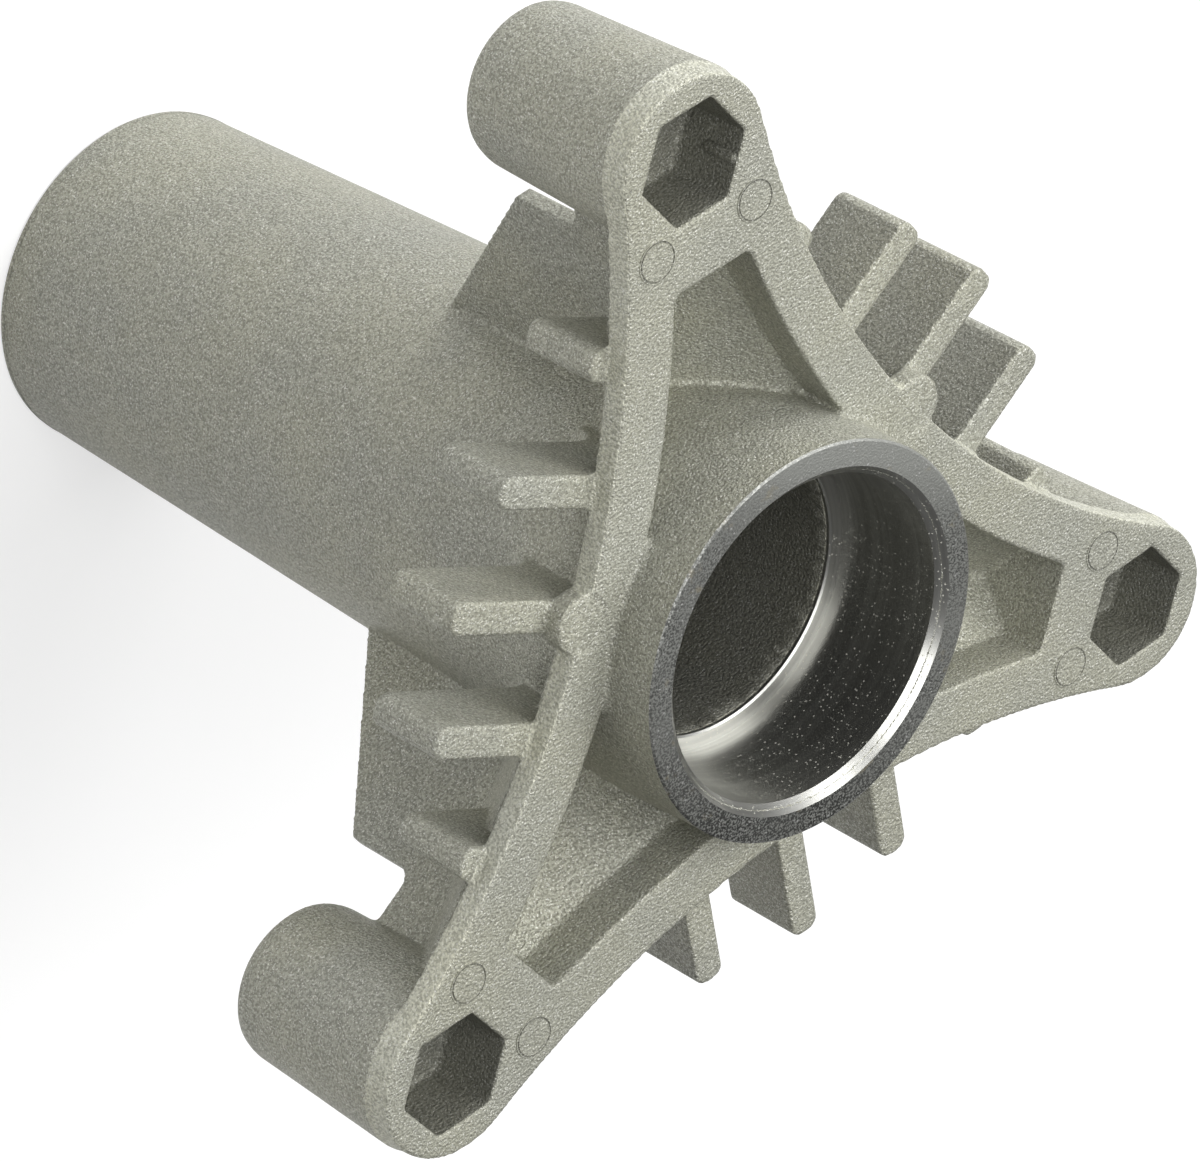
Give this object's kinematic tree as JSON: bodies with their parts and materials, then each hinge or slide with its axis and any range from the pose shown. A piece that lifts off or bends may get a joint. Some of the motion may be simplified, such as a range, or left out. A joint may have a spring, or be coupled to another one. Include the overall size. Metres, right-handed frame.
{
  "type": "mower deck spindle housing",
  "caption": "Cast aluminium spindle housing: a finned star-shaped mounting flange with hexagonal sockets on a long tapered tube bored for bearings.",
  "frame": {"origin": "on the spindle's axis, at the mouth of the smaller bearing seat in the flat end of the tube", "axes": "+Z along the spindle's axis from the tube's end to the flange and collar, +Y towards one of the mounting bosses"},
  "size_m": [0.1292, 0.12, 0.1205],
  "materials": {
    "cast_aluminium": "shot-blasted casting, satin"
  },
  "bodies": {
    "root": {"spindle_housing": "cast_aluminium"}
  },
  "joints": []
}
